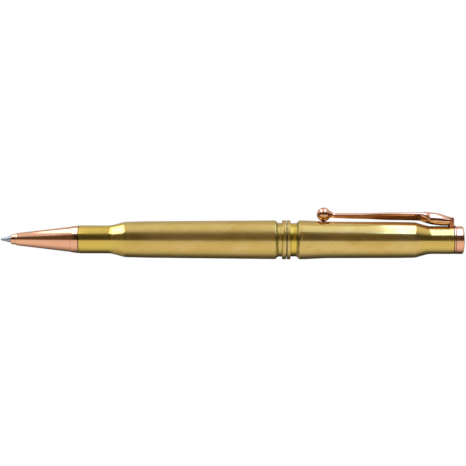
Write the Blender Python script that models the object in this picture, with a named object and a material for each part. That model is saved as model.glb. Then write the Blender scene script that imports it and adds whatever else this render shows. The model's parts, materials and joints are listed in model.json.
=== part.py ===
"""Twist-action ballpoint pen whose two barrels are bottleneck brass cartridge cases joined head to head.

The pen lies along X, writing tip towards -X and cap towards +X, with the pocket clip on top (+Z).
The origin is on the pen's axis where a writer's fingers hold it, on the neck of the lower case.
A station is a distance in millimetres along the pen from the joint between the case heads, positive
towards the cap. Heights and radii are measured in millimetres from the pen's axis. The pen is drawn
with its refill extended; turning the upper barrel by half a turn draws the refill in.
"""

import math
from dataclasses import dataclass

import bmesh
import bpy

MM = 0.001
BARREL_SEGMENTS = 40
MECHANISM_SEGMENTS = 32
REFILL_SEGMENTS = 24
BALL_SEGMENTS = 16
ARC_STEP = math.radians(25)
SHARP_ANGLE = math.radians(30)

# Where the fingers hold the pen.
GRIP_STATION = -58.5

# Gaps: between glued or pressed pieces, between running pieces, and between the two case heads.
FIT_GAP = 0.05
RUNNING_GAP = 0.08
HEAD_GAP = 0.30

# Liner tubes, one glued inside each barrel.
TUBE_RADIUS = 3.48
TUBE_BORE = 3.13
TUBE_SETBACK = 0.20
TENON_RADIUS = TUBE_BORE - FIT_GAP
LEAD_IN = 0.30
SMALL_EDGE = 0.12

# Cartridge case rims, the widest part of the pen.
RIM_RADIUS = 6.00
RIM_ROUNDING = 0.20
RIM_UNDERCUT = 0.12
CASE_BORE = TUBE_RADIUS + FIT_GAP

# Nib: from its front face to the shoulder that meets the lower case's mouth.
NIB_LENGTH = 20.65
NIB_GAP = 0.22
NIB_FACE_RADIUS = 1.36
NIB_FACE_EDGE = 0.30
NIB_LAND_START_RADIUS = 1.57
NIB_LAND_RADIUS = 1.60
NIB_LAND_LENGTH = 1.35
NIB_STEP_RADIUS = 1.82
NIB_STEP_LENGTH = 0.12
NIB_CONE_START = 0.50
NIB_CONE_START_RADIUS = 1.90
NIB_CONE_END_RADIUS = 3.87
NIB_BAND_LENGTH = 2.23
NIB_BAND_STEP = 0.10
NIB_BAND_RADIUS = 3.97
NIB_BAND_MIDDLE_RADIUS = 4.13
NIB_REAR_RADIUS = 4.23
NIB_TENON_LENGTH = 6.0
NIB_TIP_HOLE = 1.22
NIB_TIP_HOLE_LENGTH = 4.0
NIB_BORE = 1.75
NIB_BORE_TAPER = 2.5

# Refill, measured from its writing end.
REFILL_LENGTH = 116.0
REFILL_PROTRUSION = 3.18
POINT_LENGTH = 9.5
POINT_SHAFT_RADIUS = 1.15
POINT_TENON_LENGTH = 4.5
POINT_LIP_RADIUS = 0.50
POINT_LIP_LENGTH = 0.35
POINT_CONE_RADIUS = 0.82
POINT_CONE_END = 2.2
POINT_SHAFT_START = 3.9
POINT_COLLAR_START = 0.80
POINT_COLLAR_END = 0.50
POINT_DUCT = 0.55
POINT_DUCT_START = 3.0
SOCKET_END = 1.2
SOCKET_BACK = math.radians(150)
SOCKET_STEPS = 5
REFILL_TUBE_RADIUS = 1.48
REFILL_TUBE_BORE = 1.25
REFILL_CORE = REFILL_TUBE_BORE - FIT_GAP
WRITING_BALL_RADIUS = 0.35
WRITING_BALL_PLAY = 0.02
WRITING_BALL_STEPS = 8
BALL_PROUD = 0.25
INK_LENGTH = 62.0
GREASE_LENGTH = 3.0
PLUG_TENON_LENGTH = 5.0
PLUG_NECK_RADIUS = 1.30
PLUG_NECK_LENGTH = 0.6
PLUG_HEAD_RADIUS = 1.62
PLUG_END_RADIUS = 1.35

# Twist mechanism.
STROKE = 5.0
STROKE_TURN = math.pi
SLEEVE_LENGTH = 31.0
GUIDE_PRESS_RADIUS = 2.55
GUIDE_RADIUS = 2.22
GUIDE_BORE = 1.90
GUIDE_END = 16.5
FLANGE_RADIUS = 2.70
FLANGE_START = 1.05
FLANGE_THICKNESS = 0.50
DRIVE_START = 0.55
DRIVE_END = 21.5
DRIVE_BORE = 2.78
CAM_RADIUS = 2.73
CAM_BORE = 2.30
CAM_START = 2.10
CAM_END = 17.5
END_RING_THICKNESS = 1.2
CARRIER_RADIUS = 1.82
CARRIER_BORE = 1.54
CARRIER_START = 3.2
CARRIER_HEAD_START = 17.2
CARRIER_HEAD_END = 22.6
CARRIER_HEAD_RADIUS = 2.14
THREAD_RADIUS = 1.74
PIN_RADIUS = 0.40
PIN_STATION = 5.0
PIN_FOOT_GAP = 0.04
PIN_HOLE_GAP = 0.02
SLOT_HALF_WIDTH = 0.50
SLOT_STEPS = 22
CUT_OVERLAP = 0.25
THREAD_DEPTH = 3.6
THREAD_RUN_OUT = 0.3
THREAD_START = 0.25
THREAD_PROUD = 0.10
PLUG_SETBACK = 0.20

# Cap and clip.
WASHER_THICKNESS = 0.45
WASHER_GAP = 0.14
WASHER_RADIUS = 4.25
CAP_GAP = 0.12
CAP_LENGTH = 2.40
CAP_RADIUS = 4.26
CAP_EDGE = 0.45
CAP_FRONT_EDGE = 0.10
CAP_TENON_LENGTH = 6.5
CAP_TENON_BORE = 2.0
CAP_END_WALL = 1.0
CLIP_BALL_RADIUS = 2.15
CLIP_BALL_STEPS = 12
CLIP_BALL_STATION = 11.5
CLIP_BALL_HEIGHT = 7.87
CLIP_SPIGOT_RADIUS = 0.50
CLIP_SPIGOT_LENGTH = 1.2
CLIP_COLLAR_RADIUS = 0.95
CLIP_NECK_END = 14.7
CLIP_NECK_RADIUS = 0.62
CLIP_RECESS_RADIUS = 1.3
CLIP_BAR_HEIGHT = 7.35
CLIP_PIVOT_STATION = 50.6
CLIP_PIVOT_HEIGHT = 6.5
CLIP_ARM_END = 50.25
STRAP_HALF_WIDTH = 2.2
STRAP_THICKNESS = 0.73
STRAP_TOP = 7.0
STRAP_TOP_ROUNDING = 0.45
STRAP_CLEARANCE = 0.17
STRAP_FOOT = WASHER_RADIUS - 0.7
STRAP_FACE_INSET = 0.02
STRAP_FILLET_RISE = 0.15
STRAP_FILLET_START = 0.45

# The clip arm's stations from its ball end to its bend: station, underside height, top height,
# half width, and how deep the channel pressed into its underside is.
ARM_SECTIONS = (
    (14.2, 6.66, 8.02, 0.80, 0.04),
    (23.8, 6.58, 8.08, 0.95, 0.06),
    (26.0, 6.32, 8.28, 1.20, 0.50),
    (28.6, 6.26, 8.42, 1.45, 0.90),
    (35.0, 6.25, 8.46, 1.70, 1.10),
    (41.0, 6.22, 8.46, 1.90, 1.20),
    (42.4, 5.90, 8.46, 2.05, 1.55),
    (44.0, 5.10, 8.32, 2.30, 2.20),
    (46.1, 4.72, 8.16, 2.42, 2.40),
    (48.2, 4.52, 7.62, 2.45, 2.10),
    (49.5, 4.46, 7.12, 2.42, 1.80),
    (CLIP_ARM_END, 4.46, 7.04, 2.38, 1.75),
)
ARM_ARCH_STEPS = 8
ARM_ARCH_POWER = 0.7
ARM_SPRING_SHARE = 0.45
ARM_WALL = 0.55
ARM_MIN_CHANNEL_SHARE = 0.3


@dataclass
class Case:
    """A bottleneck cartridge case. Depths run from the head face to the mouth."""

    length: float
    rim_thickness: float
    groove_radius: float
    groove_end: float
    bevel_end: float
    head_radius: float
    swell: float
    shoulder_radius: float
    shoulder_start: float
    shoulder_end: float
    neck_radius: float
    neck_wall: float


LOWER_CASE = Case(
    length=63.35,
    rim_thickness=1.17,
    groove_radius=5.17,
    groove_end=2.40,
    bevel_end=3.25,
    head_radius=5.95,
    swell=0.0,
    shoulder_radius=5.54,
    shoulder_start=49.45,
    shoulder_end=53.6,
    neck_radius=4.29,
    neck_wall=0.39,
)
UPPER_CASE = Case(
    length=50.85,
    rim_thickness=1.0,
    groove_radius=5.12,
    groove_end=2.55,
    bevel_end=3.75,
    head_radius=5.67,
    swell=0.32,
    shoulder_radius=5.51,
    shoulder_start=39.3,
    shoulder_end=43.3,
    neck_radius=4.27,
    neck_wall=0.39,
)
SWELL_LENGTH = 9.5
BODY_STEPS = 6
BODY_STEP_POWER = 1.5
BODY_STRAIGHT_LENGTH = 4.0
SHOULDER_FILLET = 2.4
NECK_FILLET = 1.2
BODY_WALL = 0.60
HEAD_WALL = 1.35
WEB_DEPTH = 5.5
CAVITY_DEPTH = 8.0
CAVITY_NECK_SETBACK = 0.5
CAVITY_SHOULDER_SETBACK = 0.3
BUSH_LENGTH = 8.5

# Stations that follow from the sizes above.
LOWER_HEAD = -HEAD_GAP / 2
UPPER_HEAD = HEAD_GAP / 2
LOWER_MOUTH = LOWER_HEAD - LOWER_CASE.length
UPPER_MOUTH = UPPER_HEAD + UPPER_CASE.length
NIB_REAR = LOWER_MOUTH - NIB_GAP
NIB_FACE = NIB_REAR - NIB_LENGTH
TIP = NIB_FACE - REFILL_PROTRUSION
WASHER_START = UPPER_MOUTH + WASHER_GAP
WASHER_END = WASHER_START + WASHER_THICKNESS
CAP_START = WASHER_END + CAP_GAP
CAP_END = CAP_START + CAP_LENGTH
REFILL_END = TIP + REFILL_LENGTH
POINT_END = TIP + POINT_LENGTH
BALL_STATION = TIP + WRITING_BALL_RADIUS
CLIP_COLLAR = CLIP_BALL_STATION + CLIP_BALL_RADIUS * 0.9


def clear_scene():
    for old in list(bpy.data.objects):
        bpy.data.objects.remove(old, do_unlink=True)


def make_material(name, colour, metallic, roughness):
    material = bpy.data.materials.new(name)
    material.use_nodes = True
    shader = material.node_tree.nodes["Principled BSDF"]
    shader.inputs["Base Color"].default_value = (*colour, 1.0)
    shader.inputs["Metallic"].default_value = metallic
    shader.inputs["Roughness"].default_value = roughness
    return material


def make_empty(name, station, height, parent=None):
    """An axis or pivot that pieces hang on, at a station and a height above its parent's axis."""
    empty = bpy.data.objects.new(name, None)
    bpy.context.scene.collection.objects.link(empty)
    empty.parent = parent
    empty.location = (station * MM, 0.0, height * MM)
    return empty


def make_object(name, bm, material, parent):
    """Turns a finished bmesh, in metres, into a smooth-shaded object hung on its parent."""
    bmesh.ops.recalc_face_normals(bm, faces=bm.faces)
    mesh = bpy.data.meshes.new(name)
    bm.to_mesh(mesh)
    bm.free()
    mesh.materials.append(material)
    mesh.shade_smooth()
    mesh.set_sharp_from_angle(angle=SHARP_ANGLE)
    piece = bpy.data.objects.new(name, mesh)
    bpy.context.scene.collection.objects.link(piece)
    piece.parent = parent
    return piece


def as_cutter(piece):
    """Marks a shape that only cuts or joins another one."""
    piece.hide_render = True
    piece.display_type = "WIRE"
    return piece


def combine(piece, tool, operation):
    boolean = piece.modifiers.new(tool.name, "BOOLEAN")
    boolean.operation = operation
    boolean.solver = "EXACT"
    boolean.object = as_cutter(tool)


def mix(start, end, share):
    return start + (end - start) * share


def smoothstep(share):
    share = min(max(share, 0.0), 1.0)
    return share * share * (3 - 2 * share)


def arc(centre, radius, start, end):
    """Points on an arc about a centre, from one angle to another, both included."""
    steps = max(1, math.ceil(abs(end - start) / ARC_STEP))
    angles = [mix(start, end, step / steps) for step in range(steps + 1)]
    return [(centre[0] + radius * math.cos(a), centre[1] + radius * math.sin(a)) for a in angles]


def round_corner(before, corner, after, reach):
    """The arc that replaces a corner and meets its two straight sides at reach from it."""
    towards = [(p[0] - corner[0], p[1] - corner[1]) for p in (before, after)]
    lengths = [math.hypot(*t) for t in towards]
    sides = [(t[0] / n, t[1] / n) for t, n in zip(towards, lengths)]
    opening = math.acos(sides[0][0] * sides[1][0] + sides[0][1] * sides[1][1])
    to_centre = reach / math.cos(opening / 2)
    middle = (sides[0][0] + sides[1][0], sides[0][1] + sides[1][1])
    scale = to_centre / math.hypot(*middle)
    centre = (corner[0] + middle[0] * scale, corner[1] + middle[1] * scale)
    touches = [(corner[0] + s[0] * reach, corner[1] + s[1] * reach) for s in sides]
    angles = [math.atan2(t[1] - centre[1], t[0] - centre[0]) for t in touches]
    turn = (angles[1] - angles[0] + math.pi) % math.tau - math.pi
    return arc(centre, reach * math.tan(opening / 2), angles[0], angles[0] + turn)


def outline(corners):
    """A closed outline from (station, radius) corners; a third number rounds that corner."""
    points = []
    for index, corner in enumerate(corners):
        if len(corner) == 2:
            points.append(corner)
            continue
        after = corners[(index + 1) % len(corners)]
        points += round_corner(corners[index - 1], corner, after, corner[2])
    return points


def ring(bm, station, radius, segments):
    """A ring of vertices about X, with a flat between two of them facing each of +Z, -Z, +Y, -Y."""
    if radius == 0:
        return [bm.verts.new((station * MM, 0.0, 0.0))]
    angles = [(index + 0.5) * math.tau / segments for index in range(segments)]
    return [
        bm.verts.new((station * MM, radius * MM * math.cos(a), radius * MM * math.sin(a)))
        for a in angles
    ]


def bridge(bm, first, second):
    """Joins two rings, either of which may be a single vertex on the axis."""
    count = max(len(first), len(second))
    for index in range(count):
        follow = (index + 1) % count
        corners = [first[index % len(first)], first[follow % len(first)]]
        corners += [second[follow % len(second)], second[index % len(second)]]
        bm.faces.new(list(dict.fromkeys(corners)))


def lathe(name, profile, material, parent, segments):
    """Turns a profile about X. One that starts and ends on the axis is solid; any other is a ring."""
    bm = bmesh.new()
    rings = [ring(bm, station, radius, segments) for station, radius in profile]
    for first, second in zip(rings, rings[1:]):
        bridge(bm, first, second)
    if profile[0][1] > 0:
        bridge(bm, rings[-1], rings[0])
    return make_object(name, bm, material, parent)


def tube(name, start, end, outer, bore, material, parent, segments):
    profile = [(start, bore), (start, outer), (end, outer), (end, bore)]
    return lathe(name, profile, material, parent, segments)


def prism(name, side_outline, half_width, material, parent):
    """Extrudes an outline of (station, height) points to both sides of the pen's middle plane."""
    bm = bmesh.new()
    rings = [
        [bm.verts.new((x * MM, y * MM, z * MM)) for x, z in side_outline]
        for y in (-half_width, half_width)
    ]
    bridge(bm, rings[0], rings[1])
    for edge_ring in rings:
        bm.faces.new(edge_ring)
    return make_object(name, bm, material, parent)


def body_radius(case, depth):
    """The case body's radius: a straight taper, with a swell that fades away from the head."""
    share = (depth - case.bevel_end) / (case.shoulder_start - case.bevel_end)
    taper = mix(case.head_radius, case.shoulder_radius, share)
    fade = smoothstep((depth - case.bevel_end) / SWELL_LENGTH)
    return taper + case.swell * (1 - fade)


def case_outline(case):
    """The case's section as (depth, radius) corners: down its outside, then back up its inside."""
    body_end = case.shoulder_start - BODY_STRAIGHT_LENGTH
    shares = [(step / BODY_STEPS) ** BODY_STEP_POWER for step in range(BODY_STEPS + 1)]
    body_depths = [mix(case.bevel_end, body_end, share) for share in shares]
    neck_bore = case.neck_radius - case.neck_wall
    outside = [
        (0.0, CASE_BORE),
        (0.0, RIM_RADIUS, RIM_ROUNDING),
        (case.rim_thickness, RIM_RADIUS, RIM_ROUNDING),
        (case.rim_thickness + RIM_UNDERCUT, case.groove_radius),
        (case.groove_end, case.groove_radius),
    ]
    outside += [(depth, body_radius(case, depth)) for depth in body_depths]
    outside += [
        (case.shoulder_start, case.shoulder_radius, SHOULDER_FILLET),
        (case.shoulder_end, case.neck_radius, NECK_FILLET),
        (case.length, case.neck_radius, SMALL_EDGE),
    ]
    inside = [
        (case.length, neck_bore),
        (case.shoulder_end + CAVITY_NECK_SETBACK, neck_bore),
        (case.shoulder_start + CAVITY_SHOULDER_SETBACK, case.shoulder_radius - BODY_WALL),
        (CAVITY_DEPTH, case.head_radius - HEAD_WALL),
        (WEB_DEPTH, CASE_BORE),
    ]
    return outline(outside + inside)


def make_case(name, case, head_station, direction, material, parent):
    profile = [(head_station + direction * depth, radius) for depth, radius in case_outline(case)]
    return lathe(name, profile, material, parent, BARREL_SEGMENTS)


def make_nib(material, parent):
    land_end = NIB_FACE + NIB_LAND_LENGTH
    band_start = NIB_REAR - NIB_BAND_LENGTH
    tenon_end = NIB_REAR + NIB_TENON_LENGTH
    hole_end = NIB_FACE + NIB_TIP_HOLE_LENGTH
    corners = [
        (NIB_FACE, NIB_TIP_HOLE),
        (NIB_FACE, NIB_FACE_RADIUS),
        (NIB_FACE + NIB_FACE_EDGE, NIB_LAND_START_RADIUS),
        (land_end, NIB_LAND_RADIUS),
        (land_end + NIB_STEP_LENGTH, NIB_STEP_RADIUS),
        (land_end + NIB_CONE_START, NIB_CONE_START_RADIUS),
        (band_start - NIB_BAND_STEP / 2, NIB_CONE_END_RADIUS),
        (band_start + NIB_BAND_STEP / 2, NIB_BAND_RADIUS),
        ((band_start + NIB_REAR) / 2, NIB_BAND_MIDDLE_RADIUS),
        (NIB_REAR, NIB_REAR_RADIUS, SMALL_EDGE),
        (NIB_REAR, TENON_RADIUS),
        (tenon_end, TENON_RADIUS, LEAD_IN),
        (tenon_end, NIB_BORE),
        (hole_end + NIB_BORE_TAPER, NIB_BORE),
        (hole_end, NIB_TIP_HOLE),
    ]
    return lathe("nib", outline(corners), material, parent, BARREL_SEGMENTS)


def make_lower_barrel(brass, copper, tube_brass, parent):
    make_nib(copper, parent)
    make_case("lower_casing", LOWER_CASE, LOWER_HEAD, -1, brass, parent)
    start = LOWER_MOUTH + TUBE_SETBACK
    end = LOWER_HEAD - TUBE_SETBACK
    tube("lower_tube", start, end, TUBE_RADIUS, TUBE_BORE, tube_brass, parent, BARREL_SEGMENTS)
    outer = LOWER_CASE.neck_radius - LOWER_CASE.neck_wall - FIT_GAP
    tube(
        "lower_neck_bush",
        start,
        start + BUSH_LENGTH,
        outer,
        CASE_BORE,
        tube_brass,
        parent,
        BARREL_SEGMENTS,
    )


def make_mechanism_guide(sleeve_brass, guide_plastic, parent):
    """The half of the twist mechanism that is pressed into the lower barrel and doesn't turn."""
    sleeve_end = DRIVE_START - HEAD_GAP
    tube(
        "mech_sleeve",
        sleeve_end - SLEEVE_LENGTH,
        sleeve_end,
        TENON_RADIUS,
        GUIDE_PRESS_RADIUS + FIT_GAP,
        sleeve_brass,
        parent,
        MECHANISM_SEGMENTS,
    )
    profile = [
        (sleeve_end - SLEEVE_LENGTH, GUIDE_BORE),
        (sleeve_end - SLEEVE_LENGTH, GUIDE_PRESS_RADIUS),
        (sleeve_end, GUIDE_PRESS_RADIUS),
        (sleeve_end, GUIDE_RADIUS),
        (FLANGE_START, GUIDE_RADIUS),
        (FLANGE_START, FLANGE_RADIUS),
        (FLANGE_START + FLANGE_THICKNESS, FLANGE_RADIUS),
        (FLANGE_START + FLANGE_THICKNESS, GUIDE_RADIUS),
        (GUIDE_END, GUIDE_RADIUS),
        (GUIDE_END, GUIDE_BORE),
    ]
    guide = lathe("mech_guide", profile, guide_plastic, parent, MECHANISM_SEGMENTS)
    slot_start = PIN_STATION - SLOT_HALF_WIDTH
    slot_end = PIN_STATION + STROKE + SLOT_HALF_WIDTH
    foot = GUIDE_BORE / 2
    top = GUIDE_RADIUS * 2
    side = [(slot_start, foot), (slot_end, foot), (slot_end, top), (slot_start, top)]
    cutter = prism("guide_slot_cutter", side, SLOT_HALF_WIDTH, guide_plastic, parent)
    combine(guide, cutter, "DIFFERENCE")


def helical_slot(name, material, parent):
    """A cutter that follows the pin's path round the cam, from the extended end to the drawn-in end."""
    lead = STROKE / STROKE_TURN
    slope = lead / CAM_BORE
    axial_half_width = SLOT_HALF_WIDTH * math.hypot(1.0, slope)
    overrun = SLOT_HALF_WIDTH / CAM_BORE
    inner = CAM_BORE - CUT_OVERLAP
    outer = CAM_RADIUS + CUT_OVERLAP
    bm = bmesh.new()
    rings = []
    for step in range(SLOT_STEPS + 1):
        turn = mix(-overrun, STROKE_TURN + overrun, step / SLOT_STEPS)
        angle = math.pi / 2 - turn
        station = PIN_STATION + lead * turn
        corners = [
            (station - axial_half_width, inner),
            (station + axial_half_width, inner),
            (station + axial_half_width, outer),
            (station - axial_half_width, outer),
        ]
        rings.append(
            [
                bm.verts.new((x * MM, r * MM * math.cos(angle), r * MM * math.sin(angle)))
                for x, r in corners
            ]
        )
    for first, second in zip(rings, rings[1:]):
        bridge(bm, first, second)
    bm.faces.new(rings[0])
    bm.faces.new(rings[-1])
    return make_object(name, bm, material, parent)


def make_twister(nickel, cam_plastic, seal_rubber, parent):
    """The half of the mechanism that turns with the upper barrel."""
    lip_end = FLANGE_START - RUNNING_GAP
    lip_bore = GUIDE_RADIUS + RUNNING_GAP
    profile = [
        (DRIVE_START, lip_bore),
        (DRIVE_START, TENON_RADIUS - SMALL_EDGE),
        (DRIVE_START + SMALL_EDGE, TENON_RADIUS),
        (DRIVE_END - LEAD_IN, TENON_RADIUS),
        (DRIVE_END, TENON_RADIUS - LEAD_IN / 2),
        (DRIVE_END, DRIVE_BORE),
        (lip_end, DRIVE_BORE),
        (lip_end, lip_bore),
    ]
    lathe("mech_drive_sleeve", profile, nickel, parent, MECHANISM_SEGMENTS)
    cam = tube("mech_cam", CAM_START, CAM_END, CAM_RADIUS, CAM_BORE, cam_plastic, parent, MECHANISM_SEGMENTS)
    combine(cam, helical_slot("cam_slot_cutter", cam_plastic, parent), "DIFFERENCE")
    ring_start = FLANGE_START + FLANGE_THICKNESS + FIT_GAP
    tube(
        "mech_friction_ring",
        ring_start,
        CAM_START - FIT_GAP,
        FLANGE_RADIUS,
        lip_bore,
        seal_rubber,
        parent,
        MECHANISM_SEGMENTS,
    )
    end_ring_start = CAM_END + FIT_GAP
    tube(
        "mech_end_ring",
        end_ring_start,
        end_ring_start + END_RING_THICKNESS,
        CAM_RADIUS,
        CARRIER_HEAD_RADIUS + RUNNING_GAP,
        nickel,
        parent,
        MECHANISM_SEGMENTS,
    )


def make_upper_barrel(brass, tube_brass, parent):
    make_case("upper_casing", UPPER_CASE, UPPER_HEAD, 1, brass, parent)
    start = UPPER_HEAD + TUBE_SETBACK
    end = UPPER_MOUTH - TUBE_SETBACK
    tube("upper_tube", start, end, TUBE_RADIUS, TUBE_BORE, tube_brass, parent, BARREL_SEGMENTS)
    outer = UPPER_CASE.neck_radius - UPPER_CASE.neck_wall - FIT_GAP
    tube(
        "upper_neck_bush",
        end - BUSH_LENGTH,
        end,
        outer,
        CASE_BORE,
        tube_brass,
        parent,
        BARREL_SEGMENTS,
    )


def make_cap(copper, parent):
    tenon_start = CAP_START - CAP_TENON_LENGTH
    bore_end = CAP_START - CAP_END_WALL
    profile = [
        (bore_end, 0.0),
        (bore_end, CAP_TENON_BORE),
        (tenon_start, CAP_TENON_BORE),
        (tenon_start, TENON_RADIUS - LEAD_IN),
        (tenon_start + LEAD_IN, TENON_RADIUS),
        (CAP_START, TENON_RADIUS),
        (CAP_START, CAP_RADIUS - CAP_FRONT_EDGE),
        (CAP_START + CAP_FRONT_EDGE, CAP_RADIUS),
    ]
    edge_centre = (CAP_END - CAP_EDGE, CAP_RADIUS - CAP_EDGE)
    profile += arc(edge_centre, CAP_EDGE, math.pi / 2, 0.0)
    profile.append((CAP_END, 0.0))
    lathe("cap", profile, copper, parent, BARREL_SEGMENTS)


def make_clip_ring(copper, parent):
    """The washer trapped under the cap, with the strap that carries the clip arm."""
    washer = tube(
        "clip_ring",
        WASHER_START,
        WASHER_END,
        WASHER_RADIUS,
        TENON_RADIUS + FIT_GAP,
        copper,
        parent,
        BARREL_SEGMENTS,
    )
    strap_bottom = UPPER_CASE.neck_radius + STRAP_CLEARANCE
    strap_front = CLIP_ARM_END + STRAP_CLEARANCE
    strap_rear = strap_front + STRAP_THICKNESS
    side = outline(
        [
            (WASHER_END - STRAP_FACE_INSET, STRAP_FOOT),
            (WASHER_END - STRAP_FACE_INSET, WASHER_RADIUS + STRAP_FILLET_RISE, SMALL_EDGE),
            (strap_rear, strap_bottom + STRAP_FILLET_START, SMALL_EDGE),
            (strap_rear, STRAP_TOP, STRAP_TOP_ROUNDING),
            (strap_front, STRAP_TOP),
            (strap_front, strap_bottom),
            (WASHER_START + STRAP_FACE_INSET, strap_bottom),
            (WASHER_START + STRAP_FACE_INSET, STRAP_FOOT),
        ]
    )
    strap = prism("clip_strap_shape", side, STRAP_HALF_WIDTH, copper, parent)
    combine(washer, strap, "UNION")


def arm_section(bottom, top, half_width, channel):
    """The arm's section as (side, height) points: over its arched top, then back under its channel."""
    spring = mix(bottom, top, ARM_SPRING_SHARE)
    outer = [(half_width, bottom)]
    inner = []
    inner_half = max(half_width - ARM_WALL, ARM_MIN_CHANNEL_SHARE * half_width)
    for step in range(ARM_ARCH_STEPS + 1):
        angle = math.pi * step / ARM_ARCH_STEPS
        side = math.copysign(abs(math.cos(angle)) ** ARM_ARCH_POWER, math.cos(angle))
        rise = math.sin(angle) ** ARM_ARCH_POWER
        outer.append((half_width * side, mix(spring, top, rise)))
        inner.append((inner_half * side, bottom + channel * mix(0.5, 1.0, rise)))
    outer.append((-half_width, bottom))
    return outer + [(-inner_half, bottom)] + inner[::-1] + [(inner_half, bottom)]


def make_clip_arm(copper, pivot):
    """The springy arm, with the neck and spigot that its ball is pressed on. Its origin is the bend."""
    bm = bmesh.new()
    rings = [
        [
            bm.verts.new(
                ((station - CLIP_PIVOT_STATION) * MM, side * MM, (height - CLIP_PIVOT_HEIGHT) * MM)
            )
            for side, height in arm_section(*shape)
        ]
        for station, *shape in ARM_SECTIONS
    ]
    for first, second in zip(rings, rings[1:]):
        bridge(bm, first, second)
    bm.faces.new(rings[0])
    bm.faces.new(rings[-1])
    arm = make_object("clip_arm", bm, copper, pivot)

    collar = CLIP_COLLAR + FIT_GAP
    profile = [
        (collar - CLIP_SPIGOT_LENGTH, 0.0),
        (collar - CLIP_SPIGOT_LENGTH, CLIP_SPIGOT_RADIUS),
        (collar, CLIP_SPIGOT_RADIUS),
        (collar, CLIP_COLLAR_RADIUS),
        (CLIP_NECK_END, CLIP_NECK_RADIUS),
        (CLIP_NECK_END, 0.0),
    ]
    neck = lathe("clip_neck_shape", profile, copper, pivot, BALL_SEGMENTS)
    neck.location = (-CLIP_PIVOT_STATION * MM, 0.0, (CLIP_BAR_HEIGHT - CLIP_PIVOT_HEIGHT) * MM)
    combine(arm, neck, "UNION")


def ball_profile(centre, radius, steps):
    """Half a circle from pole to pole, for turning a ball about X."""
    angles = [math.pi * (1 - step / steps) for step in range(1, steps)]
    middle = [(centre + radius * math.cos(a), radius * math.sin(a)) for a in angles]
    return [(centre - radius, 0.0), *middle, (centre + radius, 0.0)]


def make_clip_ball(copper, pivot):
    """The ball on the arm's end, bored off centre for the spigot."""
    profile = ball_profile(CLIP_BALL_STATION, CLIP_BALL_RADIUS, CLIP_BALL_STEPS)
    ball = lathe("clip_ball", profile, copper, pivot, REFILL_SEGMENTS)
    height = CLIP_BALL_HEIGHT - CLIP_PIVOT_HEIGHT
    ball.location = (-CLIP_PIVOT_STATION * MM, 0.0, height * MM)
    bore = CLIP_SPIGOT_RADIUS + FIT_GAP
    bore_start = CLIP_COLLAR - CLIP_SPIGOT_LENGTH - FIT_GAP
    side = [
        (bore_start, 0.0),
        (bore_start, bore),
        (CLIP_COLLAR, bore),
        (CLIP_COLLAR, CLIP_RECESS_RADIUS),
        (CLIP_NECK_END, CLIP_RECESS_RADIUS),
        (CLIP_NECK_END, 0.0),
    ]
    cutter = lathe("clip_ball_cutter", side, copper, pivot, BALL_SEGMENTS)
    cutter.location = (-CLIP_PIVOT_STATION * MM, 0.0, (CLIP_BAR_HEIGHT - CLIP_PIVOT_HEIGHT) * MM)
    combine(ball, cutter, "DIFFERENCE")


def make_refill_point(steel, parent):
    """The refill's metal point, with the socket that holds the writing ball."""
    socket = WRITING_BALL_RADIUS + WRITING_BALL_PLAY
    lip_station = TIP + BALL_PROUD
    mouth_angle = math.acos((BALL_STATION - lip_station) / socket)
    angles = [mix(SOCKET_BACK, mouth_angle, step / SOCKET_STEPS) for step in range(SOCKET_STEPS + 1)]
    socket_arc = [
        (BALL_STATION - socket * math.cos(a), socket * math.sin(a)) for a in angles
    ]
    tenon_end = POINT_END + POINT_TENON_LENGTH
    profile = [
        (tenon_end, POINT_DUCT),
        (BALL_STATION + POINT_DUCT_START, POINT_DUCT),
        (BALL_STATION + SOCKET_END, socket_arc[0][1]),
        *socket_arc,
        (lip_station + POINT_LIP_LENGTH, POINT_LIP_RADIUS),
        (TIP + POINT_CONE_END, POINT_CONE_RADIUS),
        (TIP + POINT_SHAFT_START, POINT_SHAFT_RADIUS),
        (POINT_END - POINT_COLLAR_START, POINT_SHAFT_RADIUS),
        (POINT_END - POINT_COLLAR_END, REFILL_TUBE_RADIUS),
        (POINT_END, REFILL_TUBE_RADIUS),
        (POINT_END, REFILL_CORE),
        (tenon_end, REFILL_CORE),
    ]
    lathe("refill_point", profile, steel, parent, REFILL_SEGMENTS)


def make_refill(tube_metal, steel, plug_plastic, ink, grease, parent):
    make_refill_point(steel, parent)
    tube_start = POINT_END + FIT_GAP
    tube_end = CARRIER_HEAD_END - THREAD_DEPTH + PLUG_SETBACK
    tube(
        "refill_tube",
        tube_start,
        tube_end,
        REFILL_TUBE_RADIUS,
        REFILL_TUBE_BORE,
        tube_metal,
        parent,
        REFILL_SEGMENTS,
    )
    thread_start = tube_end + FIT_GAP
    thread_end = CARRIER_HEAD_END + THREAD_PROUD
    neck_end = thread_end + PLUG_NECK_LENGTH
    plug = [
        (tube_end - PLUG_TENON_LENGTH, 0.0),
        (tube_end - PLUG_TENON_LENGTH, REFILL_CORE),
        (thread_start, REFILL_CORE),
        (thread_start, THREAD_RADIUS - THREAD_START),
        (thread_start + LEAD_IN, THREAD_RADIUS),
        (thread_end, THREAD_RADIUS),
        (thread_end, PLUG_NECK_RADIUS),
        (neck_end, PLUG_NECK_RADIUS),
        (neck_end, PLUG_HEAD_RADIUS),
        (REFILL_END - LEAD_IN, PLUG_HEAD_RADIUS),
        (REFILL_END, PLUG_END_RADIUS),
        (REFILL_END, 0.0),
    ]
    lathe("refill_plug", plug, plug_plastic, parent, REFILL_SEGMENTS)
    ink_start = POINT_END + POINT_TENON_LENGTH + FIT_GAP
    ink_end = ink_start + INK_LENGTH
    make_rod("refill_ink", ink_start, ink_end, REFILL_CORE, ink, parent)
    grease_start = ink_end + FIT_GAP
    grease_end = grease_start + GREASE_LENGTH
    make_rod("refill_grease_plug", grease_start, grease_end, REFILL_CORE, grease, parent)


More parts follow.
